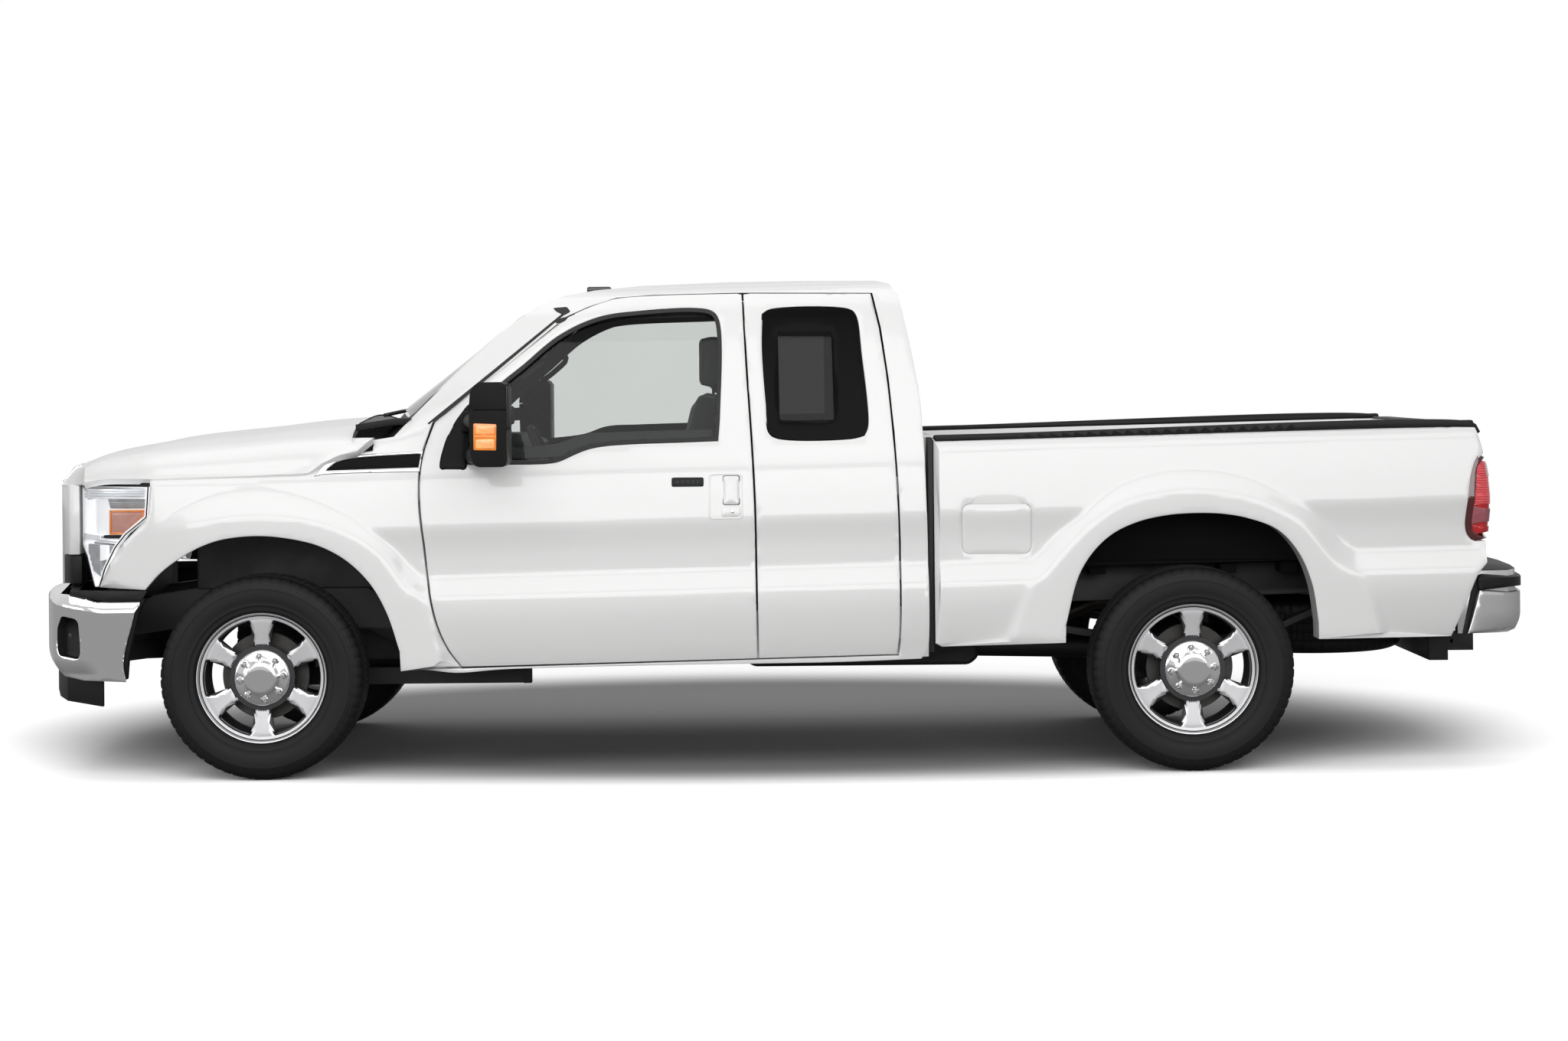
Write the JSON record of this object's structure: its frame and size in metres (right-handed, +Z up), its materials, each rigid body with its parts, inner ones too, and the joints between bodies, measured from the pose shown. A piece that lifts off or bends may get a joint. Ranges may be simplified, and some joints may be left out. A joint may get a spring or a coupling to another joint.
{
  "type": "pickup truck",
  "caption": "White heavy-duty extended-cab pickup truck with a load bed, opening doors, hood and tailgate, steered front wheels and turning road wheels.",
  "frame": {"origin": "on the floor, at the middle of the truck's length and width", "axes": "front is -X, rear is +X; the driver's left side is -Y, the right side +Y; +Z is up"},
  "size_m": [5.903, 2.64, 1.926],
  "materials": {
    "body_paint": "gloss white coat",
    "bed_paint": "satin white coat, lightly scuffed",
    "chrome": "polished",
    "black_trim": "fine grain",
    "clear_glass": "polished",
    "privacy_glass": "polished, dark tint",
    "lamp_lens": "clear moulded",
    "red_lens": "moulded",
    "smoked_lens": "smoked",
    "tyre": "moulded",
    "wheel_alloy": "machined",
    "liner_plastic": "grained",
    "chassis_paint": "satin black wax coat",
    "forged_iron": "rough",
    "engine_metal": "as cast",
    "radiator_metal": "finned",
    "exhaust_steel": "dull",
    "tank_plastic": "moulded",
    "dash_plastic": "fine grain",
    "seat_fabric": "woven",
    "seat_metal": "satin black"
  },
  "bodies": {
    "truck": {"cab_shell": "body_paint", "windscreen": "clear_glass", "rear_glass": "privacy_glass", "cowl_panel": "black_trim", "front_fenders": "body_paint", "headlamps": "lamp_lens", "wheel_liners": "liner_plastic", "front_bumper": "chrome", "fog_lamps": "lamp_lens", "air_dam": "black_trim", "radiator": "radiator_metal", "bed_floor": "bed_paint", "bed_sides": "body_paint", "rail_caps": "black_trim", "tail_lamps": "red_lens", "rear_bumper": "chrome", "frame_rails": "chassis_paint", "engine_and_gearbox": "engine_metal", "drive_shaft": "chassis_paint", "exhaust": "exhaust_steel", "fuel_tank": "tank_plastic", "front_axle": "chassis_paint", "rear_axle": "chassis_paint", "spare_wheel": "tyre", "dashboard": "dash_plastic", "seat_frames": "seat_metal", "seat_cushions": "seat_fabric", "headrests": "seat_fabric", "roof_lamps": "smoked_lens"},
    "hood": {"hood": "body_paint", "grille": "chrome", "grille_mesh": "black_trim"},
    "tailgate": {"tailgate": "body_paint"},
    "fuel_door": {"fuel_door": "body_paint"},
    "steering_wheel": {"steering_wheel": "dash_plastic"},
    "front_door_left": {"front_door_left": "body_paint", "front_door_glass_left": "clear_glass", "mirror_left": "black_trim"},
    "rear_door_left": {"rear_door_left": "body_paint", "rear_door_glass_left": "privacy_glass"},
    "front_door_right": {"front_door_right": "body_paint", "front_door_glass_right": "clear_glass", "mirror_right": "black_trim"},
    "rear_door_right": {"rear_door_right": "body_paint", "rear_door_glass_right": "privacy_glass"},
    "knuckle_left": {"knuckle_left": "forged_iron"},
    "front_wheel_left": {"tyre_front_left": "tyre", "rim_front_left": "wheel_alloy"},
    "rear_wheel_left": {"tyre_rear_left": "tyre", "rim_rear_left": "wheel_alloy"},
    "knuckle_right": {"knuckle_right": "forged_iron"},
    "front_wheel_right": {"tyre_front_right": "tyre", "rim_front_right": "wheel_alloy"},
    "rear_wheel_right": {"tyre_rear_right": "tyre", "rim_rear_right": "wheel_alloy"}
  },
  "joints": [
    {"name": "front_door_hinge_left", "type": "hinge", "parent": "truck", "child": "front_door_left", "pos_m": [-1.3485, -0.985, 0.9], "axis": [0, 0, -1], "range_deg": [0, 65]},
    {"name": "rear_door_hinge_left", "type": "hinge", "parent": "truck", "child": "rear_door_left", "pos_m": [0.4895, -1.003, 0.9], "axis": [0, 0, 1], "range_deg": [0, 85]},
    {"name": "front_door_hinge_right", "type": "hinge", "parent": "truck", "child": "front_door_right", "pos_m": [-1.3485, 0.985, 0.9], "axis": [0, 0, 1], "range_deg": [0, 65]},
    {"name": "rear_door_hinge_right", "type": "hinge", "parent": "truck", "child": "rear_door_right", "pos_m": [0.4895, 1.003, 0.9], "axis": [0, 0, -1], "range_deg": [0, 85]},
    {"name": "hood_hinge", "type": "hinge", "parent": "truck", "child": "hood", "pos_m": [-1.5485, 0, 1.4], "axis": [0, 1, 0], "range_deg": [0, 50]},
    {"name": "tailgate_hinge", "type": "hinge", "parent": "truck", "child": "tailgate", "pos_m": [2.70945, 0, 0.81747], "axis": [0, 1, 0], "range_deg": [0, 90]},
    {"name": "fuel_door_hinge", "type": "hinge", "parent": "truck", "child": "fuel_door", "pos_m": [0.72781, -0.986, 0.95], "axis": [0, 0, -1], "range_deg": [0, 95]},
    {"name": "steer_left", "type": "hinge", "parent": "truck", "child": "knuckle_left", "pos_m": [-1.9885, -0.7355, 0.396], "axis": [0, 0, 1], "range_deg": [-32, 32]},
    {"name": "front_wheel_spin_left", "type": "hinge", "parent": "knuckle_left", "child": "front_wheel_left", "pos_m": [-1.9885, -0.8675, 0.396], "axis": [0, 1, 0], "continuous": true},
    {"name": "rear_wheel_spin_left", "type": "hinge", "parent": "truck", "child": "rear_wheel_left", "pos_m": [1.6135, -0.8535, 0.396], "axis": [0, 1, 0], "continuous": true},
    {"name": "steer_right", "type": "hinge", "parent": "truck", "child": "knuckle_right", "pos_m": [-1.9885, 0.7355, 0.396], "axis": [0, 0, 1], "range_deg": [-32, 32]},
    {"name": "front_wheel_spin_right", "type": "hinge", "parent": "knuckle_right", "child": "front_wheel_right", "pos_m": [-1.9885, 0.8675, 0.396], "axis": [0, 1, 0], "continuous": true},
    {"name": "rear_wheel_spin_right", "type": "hinge", "parent": "truck", "child": "rear_wheel_right", "pos_m": [1.6135, 0.8535, 0.396], "axis": [0, 1, 0], "continuous": true},
    {"name": "steering_wheel_turn", "type": "hinge", "parent": "truck", "child": "steering_wheel", "pos_m": [-0.9079, -0.39566, 1.17994], "axis": [0.9063, 0, 0.4226], "range_deg": [-545, 545]}
  ],
  "couplings": [
    {"joint": "steer_right", "follows": "steer_left", "ratio": 1},
    {"joint": "steering_wheel_turn", "follows": "steer_left", "ratio": 17}
  ]
}
